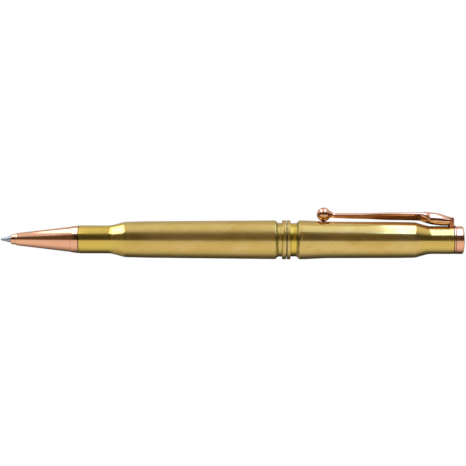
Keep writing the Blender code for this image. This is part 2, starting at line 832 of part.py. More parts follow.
def make_rod(name, start, end, radius, material, parent):
    profile = [(start, 0.0), (start, radius), (end, radius), (end, 0.0)]
    return lathe(name, profile, material, parent, REFILL_SEGMENTS)


def make_carrier(carrier_brass, steel, parent):
    """The nut that the refill screws into, and the pin that the cam's slot pushes along."""
    profile = [
        (CARRIER_START, CARRIER_BORE),
        (CARRIER_START, CARRIER_RADIUS),
        (CARRIER_HEAD_START, CARRIER_RADIUS),
        (CARRIER_HEAD_START, CARRIER_HEAD_RADIUS),
        (CARRIER_HEAD_END, CARRIER_HEAD_RADIUS),
        (CARRIER_HEAD_END, THREAD_RADIUS + FIT_GAP),
        (CARRIER_HEAD_END - THREAD_DEPTH, THREAD_RADIUS + FIT_GAP),
        (CARRIER_HEAD_END - THREAD_DEPTH - THREAD_RUN_OUT, CARRIER_BORE),
    ]
    carrier = lathe("refill_carrier", profile, carrier_brass, parent, MECHANISM_SEGMENTS)
    foot = CARRIER_BORE - CUT_OVERLAP
    hole = make_pin("carrier_hole_cutter", foot, CAM_RADIUS, PIN_RADIUS + PIN_HOLE_GAP, steel, parent)
    combine(carrier, hole, "DIFFERENCE")
    foot = CARRIER_BORE + PIN_FOOT_GAP
    make_pin("follower_pin", foot, CAM_RADIUS - FIT_GAP, PIN_RADIUS, steel, parent)


def make_pin(name, foot, top, radius, material, parent):
    """A short pin that stands out of the pen's axis along +Z, from foot to top."""
    profile = [(foot, 0.0), (foot, radius), (top, radius), (top, 0.0)]
    pin = lathe(name, profile, material, parent, BALL_SEGMENTS)
    pin.rotation_euler = (0.0, -math.pi / 2, 0.0)
    pin.location = (PIN_STATION * MM, 0.0, 0.0)
    return pin


def make_writing_ball(carbide, parent):
    """The writing ball, with its origin at its own centre."""
    profile = ball_profile(0.0, WRITING_BALL_RADIUS, WRITING_BALL_STEPS)
    ball = lathe("writing_ball", profile, carbide, parent, BALL_SEGMENTS)
    ball.location = (BALL_STATION * MM, 0.0, 0.0)


def build():
    clear_scene()
    brass = make_material("cartridge_brass", (0.78, 0.62, 0.30), 1.0, 0.28)
    copper = make_material("copper_plate", (0.93, 0.60, 0.45), 1.0, 0.10)
    tube_brass = make_material("liner_brass", (0.80, 0.64, 0.32), 1.0, 0.35)
    nickel = make_material("nickel_plate", (0.72, 0.70, 0.67), 1.0, 0.22)
    steel = make_material("nickel_silver", (0.58, 0.57, 0.56), 1.0, 0.25)
    carbide = make_material("tungsten_carbide", (0.42, 0.42, 0.44), 1.0, 0.18)
    cam_plastic = make_material("acetal_white", (0.86, 0.85, 0.80), 0.0, 0.40)
    black_plastic = make_material("acetal_black", (0.03, 0.03, 0.03), 0.0, 0.40)
    rubber = make_material("friction_rubber", (0.04, 0.04, 0.04), 0.0, 0.70)
    ink = make_material("ink_black", (0.01, 0.01, 0.015), 0.0, 0.15)
    grease = make_material("clear_grease", (0.85, 0.80, 0.60), 0.0, 0.20)

    pen_axis = make_empty("pen_axis", -GRIP_STATION, 0.0)
    turning_axis = make_empty("turning_axis", 0.0, 0.0, pen_axis)
    refill_axis = make_empty("refill_axis", 0.0, 0.0, pen_axis)
    clip_bend = make_empty("clip_bend", CLIP_PIVOT_STATION, CLIP_PIVOT_HEIGHT, turning_axis)

    make_lower_barrel(brass, copper, tube_brass, pen_axis)
    make_mechanism_guide(tube_brass, black_plastic, pen_axis)
    make_twister(nickel, cam_plastic, rubber, turning_axis)

    make_upper_barrel(brass, tube_brass, turning_axis)
    make_cap(copper, turning_axis)
    make_clip_ring(copper, turning_axis)
    make_clip_arm(copper, clip_bend)
    make_clip_ball(copper, clip_bend)

    make_carrier(tube_brass, steel, refill_axis)
    make_refill(nickel, steel, black_plastic, ink, grease, refill_axis)
    make_writing_ball(carbide, refill_axis)


build()
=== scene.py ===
"""Looks of a twist-action ballpoint pen whose barrels are two bottleneck cartridge cases.

Places along the pen are stations: distances in millimetres from the joint between the case heads,
positive towards the cap. Heights and radii are millimetres from the pen's axis.
"""

import json
import math

import bmesh
import bpy
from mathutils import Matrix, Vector


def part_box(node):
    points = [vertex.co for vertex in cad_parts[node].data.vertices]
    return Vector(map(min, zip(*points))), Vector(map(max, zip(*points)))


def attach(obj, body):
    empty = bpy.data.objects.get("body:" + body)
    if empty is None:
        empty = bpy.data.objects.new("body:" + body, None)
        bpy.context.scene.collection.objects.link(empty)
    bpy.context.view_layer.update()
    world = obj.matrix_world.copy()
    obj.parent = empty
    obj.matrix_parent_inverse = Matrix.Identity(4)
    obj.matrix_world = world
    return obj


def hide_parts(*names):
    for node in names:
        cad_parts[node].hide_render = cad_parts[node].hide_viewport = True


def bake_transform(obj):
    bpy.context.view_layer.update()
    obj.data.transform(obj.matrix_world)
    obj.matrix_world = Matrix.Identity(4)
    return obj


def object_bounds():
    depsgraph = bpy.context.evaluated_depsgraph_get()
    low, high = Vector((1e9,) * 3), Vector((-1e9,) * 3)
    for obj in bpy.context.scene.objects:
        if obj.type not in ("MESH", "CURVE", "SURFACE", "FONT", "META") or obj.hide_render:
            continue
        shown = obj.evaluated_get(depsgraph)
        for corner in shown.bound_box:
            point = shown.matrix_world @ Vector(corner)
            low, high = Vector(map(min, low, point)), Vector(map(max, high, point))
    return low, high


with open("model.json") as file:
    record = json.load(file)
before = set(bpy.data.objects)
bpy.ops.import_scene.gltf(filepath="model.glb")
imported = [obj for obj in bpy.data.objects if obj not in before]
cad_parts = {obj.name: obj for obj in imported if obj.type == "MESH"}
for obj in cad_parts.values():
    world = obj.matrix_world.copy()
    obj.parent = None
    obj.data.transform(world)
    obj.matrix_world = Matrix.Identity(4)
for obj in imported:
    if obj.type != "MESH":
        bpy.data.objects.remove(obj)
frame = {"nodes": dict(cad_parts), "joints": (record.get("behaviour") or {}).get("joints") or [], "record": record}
cad_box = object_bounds()

MM = 0.001
TURNED_SEGMENTS = 160
BALL_SEGMENTS = 96
SLEEVE_SEGMENTS = 96
SMALL_SEGMENTS = 64
TINY_SEGMENTS = 32
ARC_STEP = math.radians(9)
SHARP_ANGLE = math.radians(32)

JOINTS = {joint["name"]: joint for joint in frame["joints"]}
JOINT_X, AXIS_Y, AXIS_Z = JOINTS["barrel_twist"]["pos_m"]
MIDDLE = (cad_box[0] + cad_box[1]) / 2


def station_of(x):
    """The station of a place given in metres along X."""
    return (x - JOINT_X) / MM


def place(station, side, height):
    return Vector((JOINT_X + station * MM, AXIS_Y + side * MM, AXIS_Z + height * MM))


def span(node):
    """The stations of a CAD node's two ends."""
    low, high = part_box(node)
    return station_of(low.x), station_of(high.x)


# Gaps that show as dark lines between pressed pieces.
NIB_GAP = 0.22
WASHER_GAP = 0.14
CAP_GAP = 0.12

LOWER_MOUTH, LOWER_HEAD = span("lower_casing")
UPPER_HEAD, UPPER_MOUTH = span("upper_casing")
NIB_FACE, NIB_TENON_END = span("nib")
NIB_REAR = LOWER_MOUTH - NIB_GAP
CAP_TENON_START, CAP_END = span("cap")
WASHER_END = span("clip_ring")[1]
WASHER_START = UPPER_MOUTH + WASHER_GAP
CAP_START = WASHER_END + CAP_GAP
TIP, POINT_TENON_END = span("refill_point")
BALL_START, BALL_END = span("clip_ball")
DRIVE_START, DRIVE_END = span("mech_drive_sleeve")
PLUG_START, PLUG_END = span("refill_plug")
WRITING_BALL = span("writing_ball")

RIM_RADIUS = 6.0
CASE_BORE = 3.53
TENON_RADIUS = 3.08
# How far each case head stands past its CAD node, towards the other one.
HEAD_REACH = 0.04


# ---------------------------------------------------------------------------------------------
# Small maths
# ---------------------------------------------------------------------------------------------


def mix(start, end, share):
    return start + (end - start) * share


def smoothstep(share):
    share = min(max(share, 0.0), 1.0)
    return share * share * (3 - 2 * share)


def along(keys, station):
    """Values between keys of (station, value, value, ...), in straight lines from key to key."""
    if station <= keys[0][0]:
        return keys[0][1:]
    for before, after in zip(keys, keys[1:]):
        if station <= after[0]:
            share = (station - before[0]) / (after[0] - before[0])
            return tuple(mix(a, b, share) for a, b in zip(before[1:], after[1:]))
    return keys[-1][1:]


def arc(centre, radius, start, end):
    """Points on an arc about a centre, from one angle to another, both included."""
    steps = max(2, math.ceil(abs(end - start) / ARC_STEP))
    angles = [mix(start, end, step / steps) for step in range(steps + 1)]
    return [(centre[0] + radius * math.cos(a), centre[1] + radius * math.sin(a)) for a in angles]


def round_corner(before, corner, after, reach):
    """The arc that replaces a corner and meets its two straight sides at reach from it."""
    towards = [(p[0] - corner[0], p[1] - corner[1]) for p in (before, after)]
    lengths = [math.hypot(*t) for t in towards]
    sides = [(t[0] / n, t[1] / n) for t, n in zip(towards, lengths)]
    opening = math.acos(sides[0][0] * sides[1][0] + sides[0][1] * sides[1][1])
    to_centre = reach / math.cos(opening / 2)
    middle = (sides[0][0] + sides[1][0], sides[0][1] + sides[1][1])
    scale = to_centre / math.hypot(*middle)
    centre = (corner[0] + middle[0] * scale, corner[1] + middle[1] * scale)
    touches = [(corner[0] + s[0] * reach, corner[1] + s[1] * reach) for s in sides]
    angles = [math.atan2(t[1] - centre[1], t[0] - centre[0]) for t in touches]
    turn = (angles[1] - angles[0] + math.pi) % math.tau - math.pi
    return arc(centre, reach * math.tan(opening / 2), angles[0], angles[0] + turn)


def outline(corners):
    """A closed outline from (station, radius) corners; a third number rounds that corner."""
    points = []
    for index, corner in enumerate(corners):
        if len(corner) == 2:
            points.append(corner)
            continue
        after = corners[(index + 1) % len(corners)]
        points += round_corner(corners[index - 1], corner, after, corner[2])
    return points


# ---------------------------------------------------------------------------------------------
# Meshes
# ---------------------------------------------------------------------------------------------


def new_piece(name, bm, material, body, slot, *nodes):
    """Makes an object of a bmesh, gives it its material, and lets it stand for CAD nodes."""
    bmesh.ops.recalc_face_normals(bm, faces=bm.faces)
    mesh = bpy.data.meshes.new(name)
    bm.to_mesh(mesh)
    bm.free()
    mesh.materials.append(material)
    mesh.shade_smooth()
    mesh.set_sharp_from_angle(angle=SHARP_ANGLE)
    piece = bpy.data.objects.new(name, mesh)
    bpy.context.scene.collection.objects.link(piece)
    if body:
        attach(piece, body)
    if nodes:
        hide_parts(*nodes)
    return piece


def ring_about_x(bm, station, radius, segments, height=0.0):
    if radius == 0:
        return [bm.verts.new(place(station, 0.0, height))]
    angles = [index * math.tau / segments for index in range(segments)]
    return [
        bm.verts.new(place(station, radius * math.cos(a), height + radius * math.sin(a)))
        for a in angles
    ]


def bridge(bm, first, second):
    """Joins two rings, either of which may be a single vertex."""
    count = max(len(first), len(second))
    for index in range(count):
        follow = (index + 1) % count
        corners = [first[index % len(first)], first[follow % len(first)]]
        corners += [second[follow % len(second)], second[index % len(second)]]
        bm.faces.new(list(dict.fromkeys(corners)))


def turned_mesh(profile, segments=TURNED_SEGMENTS, height=0.0):
    """Turns (station, radius) points about X. A profile that ends on the axis is solid."""
    bm = bmesh.new()
    rings = [ring_about_x(bm, station, radius, segments, height) for station, radius in profile]
    for first, second in zip(rings, rings[1:]):
        bridge(bm, first, second)
    if profile[0][1] > 0:
        bridge(bm, rings[-1], rings[0])
    return bm


def sphere_profile(centre, radius, steps):
    """A ball's section for turned_mesh, from pole to pole."""
    angles = [math.pi * (1 - step / steps) for step in range(1, steps)]
    round_part = [(centre + radius * math.cos(a), radius * math.sin(a)) for a in angles]
    return [(centre - radius, 0.0), *round_part, (centre + radius, 0.0)]


def union(bm, *others):
    """Joins closed meshes into one with exact Boolean unions."""
    result = bpy.data.meshes.new("union")
    bm.to_mesh(result)
    bm.free()
    for other in others:
        tool_mesh = bpy.data.meshes.new("tool")
        bmesh.ops.recalc_face_normals(other, faces=other.faces)
        other.to_mesh(tool_mesh)
        other.free()
        base = bpy.data.objects.new("base", result)
        tool = bpy.data.objects.new("tool", tool_mesh)
        for thing in (base, tool):
            bpy.context.scene.collection.objects.link(thing)
        boolean = base.modifiers.new("join", "BOOLEAN")
        boolean.operation = "UNION"
        boolean.solver = "EXACT"
        boolean.object = tool
        graph = bpy.context.evaluated_depsgraph_get()
        result = bpy.data.meshes.new_from_object(base.evaluated_get(graph))
        for thing in (base, tool):
            bpy.data.objects.remove(thing, do_unlink=True)
    joined = bmesh.new()
    joined.from_mesh(result)
    return joined


# ---------------------------------------------------------------------------------------------
# Materials
# ---------------------------------------------------------------------------------------------


REST_PLACE = "rest_place"


def keep_rest_places(mesh):
    """Stores every vertex's place at rest on the mesh, for the materials of pieces that bend."""
    attribute = mesh.attributes.new(REST_PLACE, "FLOAT_VECTOR", "POINT")
    for vertex, value in zip(mesh.vertices, attribute.data):
        value.vector = vertex.co


class Nodes:
    """A material's node tree, with short ways to add what the finishes need."""

    def __init__(self, name, bends=False):
        """A piece that bends at a joint carries its rest places, so its finish stays put on it."""
        self.material = bpy.data.materials.new(name)
        self.material.use_nodes = True
        self.tree = self.material.node_tree
        self.shader = self.tree.nodes["Principled BSDF"]
        if bends:
            self.where = self.add("ShaderNodeAttribute", attribute_name=REST_PLACE).outputs["Vector"]
        else:
            self.where = self.add("ShaderNodeTexCoord").outputs["Object"]

    def add(self, kind, **settings):
        node = self.tree.nodes.new(kind)
        for key, value in settings.items():
            setattr(node, key, value)
        return node

    def link(self, source, target):
        self.tree.links.new(source, target)

    def stretched(self, scale):
        """Object coordinates scaled per axis, in cycles per metre."""
        mapping = self.add("ShaderNodeMapping")
        mapping.inputs["Scale"].default_value = scale
        self.link(self.where, mapping.inputs["Vector"])
        return mapping.outputs["Vector"]

    def noise(self, scale, detail=3.0, roughness=0.5, distortion=0.0):
        """Fractal noise. Scale is cycles per metre along x, y and z."""
        noise = self.add("ShaderNodeTexNoise")
        noise.inputs["Scale"].default_value = 1.0
        noise.inputs["Detail"].default_value = detail
        noise.inputs["Roughness"].default_value = roughness
        noise.inputs["Distortion"].default_value = distortion
        self.link(self.stretched(scale), noise.inputs["Vector"])
        return noise.outputs["Fac"]

    def ramp(self, source, *stops):
        """A colour ramp over a value, from (position, colour) stops."""
        node = self.add("ShaderNodeValToRGB")
        elements = node.color_ramp.elements
        elements.remove(elements[1])
        elements[0].color = (*stops[0][1], 1.0)
        elements[0].position = stops[0][0]
        for position, colour in stops[1:]:
            elements.new(position).color = (*colour, 1.0)
        self.link(source, node.inputs["Fac"])
        return node.outputs["Color"]

    def spread(self, source, low, high, start=0.0, end=1.0):
        """A value stretched from low..high to start..end, and held within it."""
        node = self.add("ShaderNodeMapRange")
        node.clamp = True
        for key, value in zip(("From Min", "From Max", "To Min", "To Max"), (low, high, start, end)):
            node.inputs[key].default_value = value
        self.link(source, node.inputs["Value"])
        return node.outputs["Result"]

    def math(self, operation, first, second):
        node = self.add("ShaderNodeMath", operation=operation)
        for socket, value in zip(node.inputs, (first, second)):
            if isinstance(value, (int, float)):
                socket.default_value = value
            else:
                self.link(value, socket)
        return node.outputs["Value"]

    def blend(self, factor, first, second, mode="MIX"):
        """One colour over another."""
        node = self.add("ShaderNodeMix", data_type="RGBA", blend_type=mode)
        for socket, value in zip((node.inputs[0], node.inputs[6], node.inputs[7]), (factor, first, second)):
            if isinstance(value, (int, float)):
                socket.default_value = value
            elif isinstance(value, tuple):
                socket.default_value = (*value, 1.0)
            else:
                self.link(value, socket)
        return node.outputs[2]

    def bump(self, height, depth, strength=1.0):
        """Relief from a height of 0 to 1, depth metres deep."""
        node = self.add("ShaderNodeBump")
        node.inputs["Strength"].default_value = strength
        node.inputs["Distance"].default_value = depth
        self.link(height, node.inputs["Height"])
        self.link(node.outputs["Normal"], self.shader.inputs["Normal"])

    def colour(self, source):
        self.link(source, self.shader.inputs["Base Color"])

    def roughness(self, source):
        self.link(source, self.shader.inputs["Roughness"])

    def station(self):
        """The station, in millimetres, of the shaded place, in the pen's own frame."""
        split = self.add("ShaderNodeSeparateXYZ")
        self.link(self.where, split.inputs["Vector"])
        return self.math("MULTIPLY", self.math("SUBTRACT", split.outputs["X"], JOINT_X), 1 / MM)

    def height(self):
        """The shaded place's height above the pen's axis, in millimetres."""
        split = self.add("ShaderNodeSeparateXYZ")
        self.link(self.where, split.inputs["Vector"])
        return self.math("MULTIPLY", self.math("SUBTRACT", split.outputs["Z"], AXIS_Z), 1 / MM)

    def radius(self):
        """The shaded place's distance from the pen's axis, in millimetres."""
        split = self.add("ShaderNodeSeparateXYZ")
        self.link(self.where, split.inputs["Vector"])
        across = self.math("MULTIPLY", split.outputs["Y"], 1 / MM)
        up = self.math("MULTIPLY", split.outputs["Z"], 1 / MM)
        square = self.math("ADD", self.math("MULTIPLY", across, across), self.math("MULTIPLY", up, up))
        return self.math("SQRT", square, 0.0)

    def within(self, value, low, high):
        """1 between two limits and 0 outside them, with soft edges."""
        above = self.spread(value, low - 0.02, low + 0.02)
        below = self.spread(value, high - 0.02, high + 0.02, 1.0, 0.0)
        return self.math("MULTIPLY", above, below)


# Stations of the upper case's extractor groove, which is coloured a brighter, yellower brass, and of the corners
# of the two case heads, where painted shade darkens the brass.
BRIGHT_GROOVE = (1.1, 3.15)
HEAD_CORNERS = ((-3.45, -2.45), (-1.55, -1.15), (1.10, 1.30), (2.80, 3.75))


def cartridge_brass():
    """Polished cartridge brass: yellower at the annealed necks, dull on the lower body, with painted shade in the
    corners of the case heads and in the gap between them.
    """
    nodes = Nodes("cartridge_brass")
    nodes.shader.inputs["Specular IOR Level"].default_value = 0.0
    clouds = nodes.noise((90, 170, 170), detail=4.0, roughness=0.55, distortion=0.6)
    body = nodes.ramp(
        clouds,
        (0.30, (0.66, 0.455, 0.125)),
        (0.48, (0.71, 0.500, 0.150)),
        (0.62, (0.76, 0.550, 0.200)),
        (0.80, (0.70, 0.485, 0.140)),
    )
    station = nodes.station()
    lower_neck = nodes.spread(station, LOWER_MOUTH + 8, LOWER_MOUTH + 17, 1.0, 0.0)
    upper_neck = nodes.spread(station, UPPER_MOUTH - 14, UPPER_MOUTH - 7, 0.0, 0.5)
    annealed = nodes.math("MAXIMUM", lower_neck, upper_neck)
    tinted = nodes.blend(annealed, body, (0.78, 0.560, 0.120))
    in_groove = nodes.spread(nodes.radius(), 5.2, 5.3, 1.0, 0.0)
    groove = nodes.math("MULTIPLY", nodes.within(station, *BRIGHT_GROOVE), in_groove)
    clean = nodes.math("MAXIMUM", groove, nodes.math("MULTIPLY", annealed, 0.6))
    nodes.link(nodes.spread(clean, 0.0, 1.0, 0.94, 1.0), nodes.shader.inputs["Metallic"])
    dull = nodes.math(
        "MULTIPLY",
        nodes.spread(station, LOWER_MOUTH + 13, LOWER_MOUTH + 30, 0.0, 1.0),
        nodes.spread(station, LOWER_HEAD - 4, LOWER_HEAD - 1, 1.0, 0.0),
    )
    stains = nodes.spread(nodes.noise((140, 420, 420), detail=5.0, roughness=0.6), 0.58, 0.74, 0.0, 0.35)
    stained = nodes.blend(stains, tinted, (0.50, 0.28, 0.065))
    specks = nodes.spread(nodes.noise((9000, 22000, 22000), detail=1.0), 0.56, 0.62, 0.0, 1.0)
    speckled = nodes.blend(nodes.math("MULTIPLY", specks, 0.8), stained, (0.66, 0.40, 0.08))
    bright = nodes.blend(nodes.math("MULTIPLY", groove, 0.85), speckled, (0.80, 0.57, 0.080))
    # Painted shade: the brass turns a dark olive in the corners of the case heads.
    corners = nodes.within(station, *HEAD_CORNERS[0])
    for low, high in HEAD_CORNERS[1:]:
        corners = nodes.math("MAXIMUM", corners, nodes.within(station, low, high))
    shaded_corners = nodes.blend(nodes.math("MULTIPLY", corners, 0.55), bright, (0.34, 0.30, 0.075))
    # Painted shade: the head faces at the narrow gap between the two cases are coloured near black.
    head_gap_shade = nodes.within(station, LOWER_HEAD - 0.02, UPPER_HEAD + 0.02)
    nodes.colour(nodes.blend(nodes.math("MULTIPLY", head_gap_shade, 0.95), shaded_corners, (0.040, 0.028, 0.010)))
    polish = nodes.spread(clouds, 0.35, 0.70, 0.09, 0.13)
    worn = nodes.math("ADD", polish, nodes.math("MULTIPLY", dull, 0.10))
    nodes.roughness(nodes.math("ADD", worn, nodes.math("MULTIPLY", specks, 0.14)))
    grain = nodes.noise((60, 2600, 2600), detail=3.0, roughness=0.65)
    nodes.bump(grain, 0.0000005)
    return nodes.material


def shade_under_clip(nodes, station, colour):
    """Painted shade and reflection on the plate: darker along the clip's flanks and under their crease, darkest at
    their feet, and a darker, more orange lower half on the ball.
    """
    arm_start = CLIP_KEYS[4][0]
    height = nodes.height()
    crease = nodes.spread(station, 24.0, 29.0, 7.36, 7.66)
    over_crease = nodes.math("SUBTRACT", height, crease)
    arm_flank = nodes.math(
        "MULTIPLY",
        nodes.within(station, arm_start, 43.2),
        nodes.spread(over_crease, -0.12, 0.04, 1.0, 0.0),
    )
    crease_shade = nodes.math("MULTIPLY", arm_flank, nodes.spread(over_crease, -0.35, -0.1))
    hood_flank = nodes.math(
        "MULTIPLY",
        nodes.within(station, 43.6, STRAP_FRONT),
        nodes.math("MULTIPLY", nodes.spread(height, 5.88, 5.98), nodes.spread(height, 6.6, 6.95, 1.0, 0.0)),
    )
    foot = nodes.math("SUBTRACT", height, nodes.spread(station, 41.4, 45.5, 6.55, 4.95))
    under = nodes.math(
        "MULTIPLY",
        nodes.within(station, arm_start, STRAP_FRONT),
        nodes.spread(foot, -0.40, 0.15, 1.0, 0.0),
    )
    ball = nodes.math(
        "MULTIPLY",
        nodes.within(station, 8.0, CLIP_KEYS[0][0]),
        nodes.spread(height, 7.1, 7.7, 1.0, 0.0),
    )
    # Painted shade along the flanks, crease and hood, a painted reflection on the ball's lower half, and the
    # darkest painted shade at the feet.
    painted_shade = nodes.blend(nodes.math("MULTIPLY", arm_flank, 0.72), colour, (0.62, 0.245, 0.105))
    painted_shade = nodes.blend(nodes.math("MULTIPLY", crease_shade, 0.7), painted_shade, (0.25, 0.090, 0.035))
    painted_shade = nodes.blend(nodes.math("MULTIPLY", hood_flank, 0.75), painted_shade, (0.40, 0.170, 0.060))
    painted_shade = nodes.blend(nodes.math("MULTIPLY", ball, 0.8), painted_shade, (0.62, 0.260, 0.060))
    return nodes.blend(nodes.math("MULTIPLY", under, 0.75), painted_shade, (0.25, 0.105, 0.032))


def copper_plate(name, polish, bends=False):
    """Copper plate over a polished casting: faint clouds of tone, and painted shade in the deep gaps behind the
    nib and the washer, over the strap's bend and along the clip.
    """
    nodes = Nodes(name, bends)
    nodes.shader.inputs["Metallic"].default_value = 1.0
    clouds = nodes.noise((150, 260, 260), detail=3.0, roughness=0.5)
    plate = nodes.ramp(
        clouds,
        (0.30, (0.91, 0.435, 0.250)),
        (0.55, (0.94, 0.490, 0.295)),
        (0.80, (0.93, 0.460, 0.270)),
    )
    station = nodes.station()
    # Painted shade: near black, and rougher, on the deep surfaces in the gaps behind the nib and the washer.
    deep = nodes.spread(nodes.radius(), 4.14, 4.18, 1.0, 0.0)
    behind_nib = nodes.within(station, NIB_REAR - 0.03, LOWER_MOUTH + 0.5)
    behind_washer = nodes.within(station, UPPER_MOUTH - 0.3, CAP_START + 0.03)
    gap_shade = nodes.math("MULTIPLY", deep, nodes.math("MAXIMUM", behind_nib, behind_washer))
    # Painted shade: the strap's bend is coloured a dark reddish brown.
    bend = nodes.within(station, STRAP_FRONT - 0.05, STRAP_REAR + 0.1)
    strap_shade = nodes.blend(nodes.math("MULTIPLY", bend, 0.85), plate, (0.46, 0.13, 0.038))
    shaded = shade_under_clip(nodes, station, strap_shade)
    nodes.colour(nodes.blend(gap_shade, shaded, (0.030, 0.014, 0.008)))
    shine = nodes.spread(clouds, 0.3, 0.75, polish * 0.8, polish * 1.3)
    nodes.roughness(nodes.math("MAXIMUM", shine, nodes.math("MULTIPLY", gap_shade, 0.7)))
    ripple = nodes.noise((700, 900, 900), detail=2.0)
    nodes.bump(ripple, 0.000002)
    return nodes.material


def plain_metal(name, dark, light, roughness, grain_scale):
    """Drawn or turned metal: two close tones and a fine grain."""
    nodes = Nodes(name)
    nodes.shader.inputs["Metallic"].default_value = 1.0
    grain = nodes.noise(grain_scale, detail=3.0, roughness=0.6)
    nodes.colour(nodes.ramp(grain, (0.30, dark), (0.70, light)))
    nodes.roughness(nodes.spread(grain, 0.3, 0.7, roughness * 0.85, roughness * 1.2))
    nodes.bump(grain, 0.000003)
    return nodes.material


def moulded(name, dark, light, roughness, speckle):
    """Moulded plastic or rubber: a fine eggshell texture and slightly uneven gloss."""
    nodes = Nodes(name)
    mottle = nodes.noise((speckle, speckle, speckle), detail=3.0, roughness=0.55)
    nodes.colour(nodes.ramp(mottle, (0.30, dark), (0.70, light)))
    nodes.roughness(nodes.spread(mottle, 0.3, 0.7, roughness * 0.85, roughness * 1.15))
    nodes.bump(mottle, 0.000004)
    return nodes.material


# ---------------------------------------------------------------------------------------------
# Barrels
# ---------------------------------------------------------------------------------------------


def lower_body_radius(depth):
    """Straight taper from the extractor bevel, drawn in a little more just before the shoulder."""
    taper = mix(5.95, 5.54, (depth - 3.25) / (49.45 - 3.25))
    return taper - 0.10 * smoothstep((depth - 42.0) / 7.0)


def upper_body_radius(depth):
    """Straight taper with a swell behind the head, drawn in a little more before the shoulder."""
    taper = mix(5.67, 5.51, (depth - 3.75) / (39.3 - 3.75))
    return taper + 0.32 * (1 - smoothstep((depth - 3.75) / 9.5)) - 0.06 * smoothstep((depth - 33.0) / 6.0)


def case_profile(head_corners, body_radius, body_start, shoulder_start, shoulder_end, neck_radius, length):
    """A cartridge case's section as (depth from the head face, radius) points."""
    steps = 40
    depths = [mix(body_start, shoulder_start - 0.8, step / steps) for step in range(steps + 1)]
    outside = head_corners + [(depth, body_radius(depth)) for depth in depths]
    outside += [
        (shoulder_start, body_radius(shoulder_start), 0.55),
        (shoulder_end, neck_radius, 0.9),
        (length, neck_radius, 0.10),
    ]
    neck_bore = neck_radius - 0.39
    inside = [
        (length, neck_bore, 0.05),
        (shoulder_end + 0.5, neck_bore),
        (shoulder_start + 0.3, body_radius(shoulder_start) - 0.60),
        (8.0, body_radius(8.0) - 1.35),
        (5.5, CASE_BORE),
    ]
    return outline(outside + inside)


def make_lower_casing(brass):
    head = [
        (-HEAD_REACH, CASE_BORE, 0.08),
        (-HEAD_REACH, RIM_RADIUS, 0.16),
        (1.17, RIM_RADIUS, 0.20),
        (1.30, 5.22, 0.06),
        (1.42, 5.17, 0.05),
        (2.40, 5.17, 0.10),
        (3.25, 5.93, 0.12),
    ]
    length = LOWER_HEAD - LOWER_MOUTH
    profile = case_profile(head, lower_body_radius, 3.55, 49.30, 53.6, 4.29, length)
    bm = turned_mesh([(LOWER_HEAD - depth, radius) for depth, radius in profile])
    return new_piece("lower_case", bm, brass, "lower_barrel", "cartridge_brass", "lower_casing")


def make_upper_casing(brass):
    head = [
        (-HEAD_REACH, CASE_BORE, 0.08),
        (-HEAD_REACH, RIM_RADIUS, 0.16),
        (1.0, RIM_RADIUS, 0.20),
        (1.12, 5.17, 0.06),
        (1.24, 5.12, 0.05),
        (2.85, 5.12, 0.08),
        (3.75, 5.96, 0.14),
    ]
    length = UPPER_MOUTH - UPPER_HEAD
    profile = case_profile(head, upper_body_radius, 4.1, 39.2, 43.3, 4.27, length)
    bm = turned_mesh([(UPPER_HEAD + depth, radius) for depth, radius in profile])
    return new_piece("upper_case", bm, brass, "upper_barrel", "cartridge_brass", "upper_casing")


def make_nib(copper):
    """The copper nib: a flat-faced land, a long cone, and a raised band against the case's mouth."""
    band = NIB_REAR - 2.23
    land_end = NIB_FACE + 1.35
    corners = [
        (NIB_FACE, 1.22, 0.05),
        (NIB_FACE, 1.42, 0.10),
        (NIB_FACE + 0.30, 1.58, 0.12),
        (land_end, 1.62, 0.05),
        (land_end + 0.10, 1.80, 0.05),
        (land_end + 0.45, 1.90, 0.15),
        (band - 0.04, 3.87, 0.02),
        (band + 0.04, 3.97, 0.02),
        (NIB_REAR, 4.23, 0.06),
        (NIB_REAR, TENON_RADIUS),
        (NIB_TENON_END, TENON_RADIUS, 0.3),
        (NIB_TENON_END, 1.75),
        (NIB_FACE + 6.5, 1.75),
        (NIB_FACE + 4.0, 1.22),
    ]
    bm = turned_mesh(outline(corners))
    return new_piece("nib_shell", bm, copper, "lower_barrel", "copper_plate", "nib")


def make_cap(copper):
    """The copper end cap, with a rounded outer edge and its tenon inside the upper tube."""
    corners = [
        (CAP_START - 1.0, 0.0),
        (CAP_START - 1.0, 2.0),
        (CAP_TENON_START, 2.0),
        (CAP_TENON_START, TENON_RADIUS, 0.25),
        (CAP_START, TENON_RADIUS),
        (CAP_START, 4.26, 0.08),
        (CAP_END, 4.26, 0.50),
        (CAP_END, 0.0),
    ]
    bm = turned_mesh(outline(corners))
    return new_piece("end_cap", bm, copper, "upper_barrel", "copper_plate", "cap")


# ---------------------------------------------------------------------------------------------
# Clip
# ---------------------------------------------------------------------------------------------

